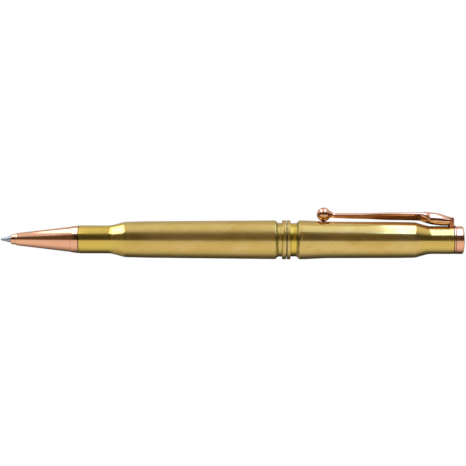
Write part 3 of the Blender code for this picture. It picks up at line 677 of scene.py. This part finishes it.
# Station, top height, crease height, bottom height, half width, foot share, channel depth.
CLIP_KEYS = (
    (13.20, 9.00, 7.80, 6.75, 1.15, 0.40, 0.00),
    (13.55, 8.80, 7.65, 6.72, 1.05, 0.40, 0.00),
    (13.90, 8.55, 7.50, 6.70, 0.95, 0.38, 0.00),
    (14.25, 8.32, 7.40, 6.68, 0.86, 0.36, 0.00),
    (14.70, 8.20, 7.35, 6.67, 0.80, 0.34, 0.00),
    (17.00, 8.20, 7.35, 6.60, 0.82, 0.32, 0.00),
    (19.50, 8.21, 7.35, 6.50, 0.86, 0.30, 0.00),
    (23.80, 8.24, 7.38, 6.43, 0.95, 0.30, 0.02),
    (26.00, 8.30, 7.50, 6.36, 1.18, 0.30, 0.10),
    (28.60, 8.36, 7.64, 6.20, 1.45, 0.32, 0.25),
    (31.50, 8.42, 7.68, 6.10, 1.58, 0.34, 0.35),
    (35.00, 8.46, 7.70, 6.07, 1.70, 0.36, 0.40),
    (40.30, 8.47, 7.72, 5.97, 1.88, 0.36, 0.40),
    (41.20, 8.47, 7.68, 5.84, 1.92, 0.36, 0.35),
    (41.90, 8.47, 7.55, 5.52, 1.98, 0.36, 0.25),
    (42.60, 8.46, 7.20, 5.32, 2.08, 0.36, 0.15),
    (43.40, 8.42, 6.45, 5.06, 2.20, 0.36, 0.05),
    (43.90, 8.38, 6.00, 4.93, 2.28, 0.36, 0.00),
    (44.70, 8.30, 5.94, 4.76, 2.34, 0.36, 0.00),
    (46.10, 8.15, 5.96, 4.58, 2.42, 0.36, 0.00),
    (47.40, 7.82, 5.93, 4.44, 2.44, 0.36, 0.00),
    (48.30, 7.53, 5.90, 4.40, 2.44, 0.36, 0.00),
    (49.20, 7.22, 5.88, 4.40, 2.43, 0.36, 0.00),
    (50.20, 6.95, 5.88, 4.40, 2.40, 0.36, 0.00),
)
# Stretches of the arm, and the spacing of its sections in each.
CLIP_STEPS = (
    (13.2, 14.8, 0.10), (14.8, 24.0, 0.45), (24.0, 41.0, 0.40), (41.0, 44.4, 0.07), (44.4, 50.2, 0.20)
)
CLIP_ROOF_POINTS = 36
CLIP_FLANK_POINTS = 12
# How square the roof's section is, and how the flanks draw in, as (station, power).
CLIP_SQUARENESS = ((13.2, 1.0), (24.0, 0.85), (28.6, 0.62), (41.0, 0.66), (44.0, 0.95), (50.2, 0.95))
CLIP_FLANK_POWER = ((13.2, 1.0), (24.0, 0.85), (28.0, 0.75), (40.0, 0.75), (43.5, 2.0), (50.2, 2.2))
CLIP_SHARP_ANGLE = math.radians(22)


def clip_ring(bm, station):
    """One section of the clip arm: a roof over the crease line, and flanks that draw in under it."""
    top, crease, bottom, half, foot, channel = along(CLIP_KEYS, station)
    squareness = along(CLIP_SQUARENESS, station)[0]
    power = along(CLIP_FLANK_POWER, station)[0]
    roof = []
    for index in range(CLIP_ROOF_POINTS + 1):
        angle = math.pi * index / CLIP_ROOF_POINTS
        across, up = math.cos(angle), math.sin(angle)
        edge = 42.0 + 1.8 * (1 - up)
        raised = 0.13 * smoothstep((station - edge) / 0.22)
        side = math.copysign(abs(across) ** squareness, across) * (half + raised * abs(across))
        roof.append((side, mix(crease, top, up ** squareness) + raised * up))
    flank = []
    for index in range(1, CLIP_FLANK_POINTS + 1):
        share = index / CLIP_FLANK_POINTS
        flank.append((half * (1 - (1 - foot) * share ** power), mix(crease, bottom, share)))
    inside = [(half * foot * 0.6, bottom + channel * 0.7), (0.0, bottom + channel)]
    under = [(-side, height) for side, height in flank + inside] + inside[:1] + flank[::-1]
    return [bm.verts.new(place(station, side, height)) for side, height in roof + under]


def clip_stations():
    """Close together where the section changes fast."""
    found = []
    for start, end, step in CLIP_STEPS:
        count = round((end - start) / step)
        found += [mix(start, end, index / count) for index in range(count)]
    return found + [CLIP_STEPS[-1][1]]


def skin(bm, rings):
    """Joins a row of sections into one closed solid."""
    for first, second in zip(rings, rings[1:]):
        bridge(bm, first, second)
    bm.faces.new(rings[0])
    bm.faces.new(rings[-1])
    return bm


def clip_arm_mesh():
    bm = bmesh.new()
    return skin(bm, [clip_ring(bm, station) for station in clip_stations()])


STRAP_FRONT = 49.78
STRAP_REAR = 51.10
STRAP_TOP = 7.00
STRAP_HALF_WIDTH = 2.42
STRAP_WRAP_RADIUS = 4.42
STRAP_BEND = 0.62
STRAP_EDGE = 0.14
STRAP_CORNER = 0.35
STRAP_TAPER = 0.40
STRAP_STEPS = 24


def strap_mesh():
    """The bend at the arm's end: a strip that turns down and wraps the top of the neck."""
    bm = bmesh.new()
    rings = []
    for step in range(STRAP_STEPS + 1):
        share = step / STRAP_STEPS
        station = mix(STRAP_FRONT, STRAP_REAR, share - math.sin(math.tau * share) / math.tau * 0.8)
        to_end = min(station - STRAP_FRONT, STRAP_REAR - station)
        inset = STRAP_EDGE - math.sqrt(max(STRAP_EDGE**2 - max(STRAP_EDGE - to_end, 0.0) ** 2, 0.0))
        bend = max(station - (STRAP_REAR - STRAP_BEND), 0.0)
        top = STRAP_TOP - inset - (STRAP_BEND - math.sqrt(max(STRAP_BEND**2 - bend**2, 0.0)))
        top = max(top, STRAP_WRAP_RADIUS + 1.2)
        half = STRAP_HALF_WIDTH - inset
        centre_side, centre_height = half - STRAP_CORNER, top - STRAP_CORNER
        section = arc((centre_side, centre_height), STRAP_CORNER, 0.0, math.pi / 2)
        section += arc((-centre_side, centre_height), STRAP_CORNER, math.pi / 2, math.pi)
        reach = math.asin((half - STRAP_TAPER) / (STRAP_WRAP_RADIUS + inset))
        section += arc((0.0, 0.0), STRAP_WRAP_RADIUS + inset, math.pi / 2 + reach, math.pi / 2 - reach)
        rings.append([bm.verts.new(place(station, side, height)) for side, height in section])
    return skin(bm, rings)


def washer_mesh():
    corners = [
        (WASHER_START, 3.13, 0.04),
        (WASHER_START, 4.25, 0.08),
        (WASHER_END, 4.25, 0.08),
        (WASHER_END, 3.13, 0.04),
    ]
    return turned_mesh(outline(corners))


def foot_mesh():
    """The short tab that joins the strap to the washer's rim."""
    bm = bmesh.new()
    bmesh.ops.create_cube(bm, size=1.0)
    for vert in bm.verts:
        station = mix(UPPER_MOUTH + 0.03, WASHER_END - 0.04, vert.co.x + 0.5)
        height = mix(3.6, 4.52, vert.co.z + 0.5)
        vert.co = place(station, vert.co.y * 2 * mix(2.1, 1.9, vert.co.z + 0.5), height)
    bmesh.ops.bevel(bm, geom=bm.edges[:], offset=0.03 * MM, segments=2, affect="EDGES", profile=0.5)
    return bm


def make_clip(copper):
    """One bright stamping: washer, bend and sprung arm, left unattached to any body and keeping its rest places
    for its finish.
    """
    bm = union(clip_arm_mesh(), strap_mesh(), foot_mesh(), washer_mesh())
    piece = new_piece("clip", bm, copper, None, "copper_plate", "clip_arm", "clip_ring")
    piece.data.set_sharp_from_angle(angle=CLIP_SHARP_ANGLE)
    keep_rest_places(piece.data)
    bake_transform(piece)
    return piece


# How much larger the clip's ball looks than its CAD node, and how much lower it sits.
BALL_GROWTH = 0.05
BALL_DROP = 0.08


def make_clip_ball(copper):
    """The ball pressed on the arm's end."""
    radius = (BALL_END - BALL_START) / 2 + BALL_GROWTH
    centre = (BALL_START + BALL_END) / 2
    low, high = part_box("clip_ball")
    height = (low.z + high.z) / 2 / MM - AXIS_Z / MM - BALL_DROP
    bm = turned_mesh(sphere_profile(centre, radius, 48), BALL_SEGMENTS, height)
    return new_piece("clip_ball_end", bm, copper, "clip", "copper_plate", "clip_ball")


# ---------------------------------------------------------------------------------------------
# Refill and mechanism
# ---------------------------------------------------------------------------------------------


def make_refill_point(steel):
    """The turned point: lip, cone, step and shaft."""
    corners = [
        (POINT_TENON_END, 0.55),
        (TIP + 0.9, 0.55),
        (TIP + 0.14, 0.375),
        (TIP + 0.02, 0.385, 0.01),
        (TIP + 0.45, 0.50, 0.08),
        (TIP + 1.95, 0.80, 0.10),
        (TIP + 2.10, 0.90, 0.06),
        (TIP + 3.90, 1.15, 0.20),
        (TIP + 8.70, 1.15, 0.05),
        (TIP + 9.00, 1.46, 0.05),
        (TIP + 9.50, 1.46, 0.04),
        (TIP + 9.50, 1.20),
        (POINT_TENON_END, 1.20),
    ]
    bm = turned_mesh(outline(corners), SMALL_SEGMENTS)
    return new_piece("writing_point", bm, steel, "refill", "refill_steel", "refill_point")


def make_writing_ball(carbide):
    start, end = WRITING_BALL
    bm = turned_mesh(sphere_profile((start + end) / 2, (end - start) / 2, 16), TINY_SEGMENTS)
    return new_piece("point_ball", bm, carbide, "ball", "ball_carbide", "writing_ball")


def make_drive_sleeve(nickel):
    """The plated sleeve that plugs into the upper tube, with two rolled grooves."""
    def groove(centre):
        return [
            (centre - 0.35, TENON_RADIUS, 0.12),
            (centre - 0.10, TENON_RADIUS - 0.14, 0.08),
            (centre + 0.10, TENON_RADIUS - 0.14, 0.08),
            (centre + 0.35, TENON_RADIUS, 0.12),
        ]

    corners = [
        (DRIVE_START, 2.32),
        (DRIVE_START, TENON_RADIUS, 0.20),
        *groove(DRIVE_START + 2.2),
        *groove(DRIVE_END - 2.4),
        (DRIVE_END, TENON_RADIUS, 0.28),
        (DRIVE_END, 2.78, 0.05),
        (0.97, 2.78),
        (0.97, 2.32),
    ]
    bm = turned_mesh(outline(corners), SLEEVE_SEGMENTS)
    return new_piece("drive_sleeve", bm, nickel, "twister", "nickel_plate", "mech_drive_sleeve")


def make_refill_plug(plastic):
    """The plastic plug that screws the refill into its carrier."""
    thread_start = PLUG_START + 5.05
    head_start = max(PLUG_END - 6.0, thread_start + 4.5)
    corners = [
        (PLUG_START, 0.0),
        (PLUG_START, 1.20),
        (thread_start, 1.20),
        (thread_start, 1.74, 0.15),
        (thread_start + 3.4, 1.74, 0.08),
        (thread_start + 3.45, 1.30),
        (thread_start + 4.05, 1.30),
        (thread_start + 4.05, 1.62, 0.08),
        (head_start, 1.62),
        (PLUG_END, 1.62, 0.30),
        (PLUG_END, 0.0),
    ]
    bm = turned_mesh(outline(corners), SMALL_SEGMENTS)
    return new_piece("plug", bm, plastic, "refill", "black_plastic", "refill_plug")


def dress_cad_nodes(finishes):
    """Gives every CAD node that still shows the material of its record slot."""
    for subpart in frame["record"]["subparts"]:
        node = frame["nodes"][subpart["node"]]
        node.data.materials.clear()
        node.data.materials.append(finishes[subpart["material_slot"]])
        for polygon in node.data.polygons:
            polygon.material_index = 0


# ---------------------------------------------------------------------------------------------
# Studio
# ---------------------------------------------------------------------------------------------

# What the polished metal mirrors. Angles are about the pen's axis: 0 is level towards the camera's
# side, 90 straight up, 180 level behind, -90 straight down. Lengthways places are the mirrored
# direction's x. Each light is the product of its two tables, its strength and its colour: the tent,
# a cool panel that the lower case's shoulder mirrors, light from the floor, and the dim warm room.
TENT_ROUND = (
    (-180, 0.02), (-142, 0.02), (-130, 0.04), (-119, 0.09), (-108, 0.22), (-98, 0.44), (-89, 0.62),
    (-80, 0.74), (-66, 0.84), (-50, 0.88), (-30, 0.84), (-14, 0.78), (-8, 0.62), (-5, 0.20), (-2, 0.04),
    (8, 0.02), (30, 0.02), (38, 0.06), (44, 0.18), (50, 0.44), (56, 0.63), (66, 0.76), (80, 0.84),
    (94, 0.86), (108, 0.74), (124, 0.60), (150, 0.54), (180, 0.46),
)
TENT_ALONG = ((-0.97, 0.12), (-0.86, 1.0), (0.86, 1.0), (0.97, 0.12))
SHOULDER_ROUND = ((43, 0.0), (46, 1.0), (112, 1.0), (118, 0.0))
SHOULDER_ALONG = ((-0.61, 0.0), (-0.59, 1.0), (-0.40, 1.0), (-0.385, 0.0))
FLOOR_ROUND = ((-178, 0.0), (-165, 1.0), (-110, 1.0), (-90, 0.0))
FLOOR_ALONG = ((-1.0, 0.5), (-0.28, 0.5), (-0.14, 0.0), (0.48, 0.0), (0.60, 0.7), (1.0, 0.7))
ROOM_ROUND = ((-6, 0.0), (-2, 1.0), (2, 1.0), (12, 0.75), (24, 0.8), (38, 1.0), (46, 0.8), (50, 0.0))
ROOM_ALONG = (
    (-1.0, 0.05), (-0.38, 0.50), (-0.335, 0.22), (-0.30, 0.08), (-0.25, 0.05), (-0.12, 0.20),
    (-0.08, 0.34), (-0.045, 0.7), (-0.015, 1.0), (0.02, 1.0), (0.05, 0.6), (0.10, 0.45), (0.14, 0.30),
    (0.4, 0.15), (1.0, 0.15),
)
LIGHTS = (
    (TENT_ROUND, TENT_ALONG, 1.0, (1.0, 1.0, 1.0)),
    (SHOULDER_ROUND, SHOULDER_ALONG, 2.3, (0.75, 1.0, 1.7)),
    (FLOOR_ROUND, FLOOR_ALONG, 0.5, (1.0, 0.9, 0.8)),
    (ROOM_ROUND, ROOM_ALONG, 0.25, (1.0, 0.70, 0.27)),
)


def make_world():
    """A white tent with a gap at lens level, and what lights it; the camera sees plain white."""
    world = bpy.data.worlds.new("studio")
    bpy.context.scene.world = world
    world.use_nodes = True
    tree = world.node_tree
    tree.nodes.clear()

    def add(kind, **settings):
        node = tree.nodes.new(kind)
        for key, value in settings.items():
            setattr(node, key, value)
        return node

    def math_node(operation, first, second):
        node = add("ShaderNodeMath", operation=operation)
        for socket, value in zip(node.inputs, (first, second)):
            if isinstance(value, (int, float)):
                socket.default_value = value
            else:
                tree.links.new(value, socket)
        return node.outputs["Value"]

    def ramp(source, table, start, end):
        node = add("ShaderNodeValToRGB")
        elements = node.color_ramp.elements
        elements.remove(elements[1])
        first, value = table[0]
        elements[0].color = (value, value, value, 1.0)
        elements[0].position = (first - start) / (end - start)
        for at, value in table[1:]:
            elements.new((at - start) / (end - start)).color = (value, value, value, 1.0)
        tree.links.new(source, node.inputs["Fac"])
        return node.outputs["Color"]

    direction = add("ShaderNodeSeparateXYZ")
    tree.links.new(add("ShaderNodeTexCoord").outputs["Generated"], direction.inputs["Vector"])
    towards_camera = math_node("MULTIPLY", direction.outputs["Y"], -1.0)
    angle = math_node("ARCTAN2", direction.outputs["Z"], towards_camera)
    turn = math_node("ADD", math_node("DIVIDE", angle, math.tau), 0.5)
    sideways = math_node("ADD", math_node("MULTIPLY", direction.outputs["X"], 0.5), 0.5)

    total = None
    for around, lengthways, strength, colour in LIGHTS:
        seen = math_node("MULTIPLY", ramp(turn, around, -180, 180), ramp(sideways, lengthways, -1, 1))
        tinted = add("ShaderNodeVectorMath", operation="SCALE")
        tinted.inputs[0].default_value = colour
        tree.links.new(math_node("MULTIPLY", seen, strength), tinted.inputs["Scale"])
        if total is None:
            total = tinted.outputs["Vector"]
            continue
        joined = add("ShaderNodeVectorMath", operation="ADD")
        tree.links.new(total, joined.inputs[0])
        tree.links.new(tinted.outputs["Vector"], joined.inputs[1])
        total = joined.outputs["Vector"]

    seen = add("ShaderNodeMix", data_type="RGBA")
    tree.links.new(add("ShaderNodeLightPath").outputs["Is Camera Ray"], seen.inputs[0])
    tree.links.new(total, seen.inputs[6])
    seen.inputs[7].default_value = (1.0, 1.0, 1.0, 1.0)
    background = add("ShaderNodeBackground")
    tree.links.new(seen.outputs[2], background.inputs["Color"])
    tree.links.new(background.outputs["Background"], add("ShaderNodeOutputWorld").inputs["Surface"])


def make_floor():
    """A pale sweep well below the pen, bright enough to meet the white surround without a line."""
    bm = bmesh.new()
    bmesh.ops.create_grid(bm, x_segments=1, y_segments=1, size=0.5)
    for vert in bm.verts:
        vert.co += Vector((MIDDLE.x, 0.05, -0.055))
    mesh = bpy.data.meshes.new("floor")
    bm.to_mesh(mesh)
    bm.free()
    floor = bpy.data.objects.new("floor", mesh)
    bpy.context.scene.collection.objects.link(floor)
    material = bpy.data.materials.new("pale_floor")
    material.use_nodes = True
    shader = material.node_tree.nodes["Principled BSDF"]
    shader.inputs["Base Color"].default_value = (0.30, 0.30, 0.30, 1.0)
    shader.inputs["Roughness"].default_value = 0.9
    shader.inputs["Specular IOR Level"].default_value = 0.0
    shader.inputs["Emission Color"].default_value = (1.0, 1.0, 1.0, 1.0)
    shader.inputs["Emission Strength"].default_value = 0.85
    mesh.materials.append(material)
    floor.visible_glossy = False


# Soft boxes hung above the pen: the places along X, from the pen's middle, where each one starts and
# ends, the angles about the pen's axis that it spans, its radiance and its colour.
SOFT_BOXES = (
    (-0.1085, -0.076, 50.0, 114.0, 2.2, (0.9, 1.0, 1.2)),
    (0.022, 0.106, 47.0, 93.0, 0.4, (0.62, 1.0, 2.05)),
    (0.056, 0.106, 43.0, 97.0, 0.9, (0.62, 1.0, 2.05)),
    (0.062, 0.106, 39.0, 104.0, 1.9, (0.62, 1.0, 2.05)),
)
SOFT_BOX_DISTANCE = 0.15


def make_soft_boxes():
    """Cool lights that only the polished metal mirrors, hung above the pen on the camera's side."""
    for index, (start, end, low, high, radiance, colour) in enumerate(SOFT_BOXES):
        rise = math.radians((low + high) / 2)
        data = bpy.data.lights.new(f"soft_box_{index}", "AREA")
        data.shape = "RECTANGLE"
        data.size = end - start
        data.size_y = 2 * SOFT_BOX_DISTANCE * math.tan(math.radians(high - low) / 2)
        data.energy = radiance * data.size * data.size_y * math.pi
        data.color = colour
        light = bpy.data.objects.new(data.name, data)
        bpy.context.scene.collection.objects.link(light)
        reach = Vector((0.0, -math.cos(rise), math.sin(rise))) * SOFT_BOX_DISTANCE
        light.location = Vector((MIDDLE.x + (start + end) / 2, AXIS_Y, AXIS_Z)) + reach
        light.rotation_euler = (math.radians(90) - rise, 0.0, 0.0)
        light.visible_camera = False
        light.visible_diffuse = False


def make_light():
    """One broad soft light above, for what isn't metal and for the floor's shading."""
    data = bpy.data.lights.new("overhead", "AREA")
    data.shape = "RECTANGLE"
    data.size = 0.6
    data.size_y = 0.4
    data.energy = 1.5
    light = bpy.data.objects.new("overhead", data)
    bpy.context.scene.collection.objects.link(light)
    light.location = MIDDLE + Vector((0.0, -0.10, 0.45))
    light.rotation_euler = (MIDDLE - light.location).to_track_quat("-Z", "Y").to_euler()
    light.visible_glossy = False
    light.visible_camera = False


# Metres from the middle of the pen.
CAMERA_ASIDE = 0.00033
CAMERA_DISTANCE = 0.5
CAMERA_RISE = 0.00204
CAMERA_ROLL = math.radians(-0.115)


def make_camera():
    """Level with the pen and square to it."""
    data = bpy.data.cameras.new("camera")
    data.lens = 126.0
    data.clip_start = 0.01
    camera = bpy.data.objects.new("camera", data)
    bpy.context.scene.collection.objects.link(camera)
    camera.location = (MIDDLE.x + CAMERA_ASIDE, -CAMERA_DISTANCE, AXIS_Z + CAMERA_RISE)
    camera.rotation_euler = (math.radians(90), CAMERA_ROLL, 0.0)
    bpy.context.scene.camera = camera


def build():
    brass = cartridge_brass()
    copper = copper_plate("copper_plate", 0.08)
    clip_copper = copper_plate("copper_plate_clip", 0.16, bends=True)
    steel = plain_metal("refill_steel", (0.34, 0.33, 0.32), (0.46, 0.45, 0.44), 0.24, (300, 4000, 4000))
    carbide = plain_metal("ball_carbide", (0.30, 0.30, 0.32), (0.38, 0.38, 0.40), 0.16, (6000, 6000, 6000))
    nickel = plain_metal("nickel_plate", (0.56, 0.54, 0.50), (0.66, 0.64, 0.60), 0.16, (3500, 300, 300))
    liner = plain_metal("liner_brass", (0.60, 0.42, 0.15), (0.70, 0.52, 0.20), 0.34, (200, 4000, 4000))
    black = moulded("black_plastic", (0.012, 0.012, 0.013), (0.025, 0.025, 0.027), 0.42, 5000)
    finishes = {
        "cartridge_brass": brass,
        "copper_plate": copper,
        "refill_steel": steel,
        "ball_carbide": carbide,
        "nickel_plate": nickel,
        "liner_brass": liner,
        "black_plastic": black,
        "white_plastic": moulded("white_plastic", (0.72, 0.71, 0.66), (0.80, 0.79, 0.74), 0.42, 4000),
        "seal_rubber": moulded("seal_rubber", (0.012, 0.012, 0.012), (0.03, 0.03, 0.03), 0.72, 6000),
        "ink": moulded("ink", (0.004, 0.004, 0.008), (0.008, 0.008, 0.014), 0.18, 2500),
        "grease": moulded("grease", (0.62, 0.56, 0.36), (0.72, 0.66, 0.46), 0.22, 2500),
    }
    make_nib(copper)
    make_lower_casing(brass)
    make_upper_casing(brass)
    make_cap(copper)
    make_clip(clip_copper)
    make_clip_ball(copper)
    make_refill_point(steel)
    make_writing_ball(carbide)
    make_drive_sleeve(nickel)
    make_refill_plug(black)
    dress_cad_nodes(finishes)
    make_world()
    make_floor()
    make_light()
    make_soft_boxes()
    make_camera()
    bpy.context.scene.view_settings.view_transform = "Standard"


build()
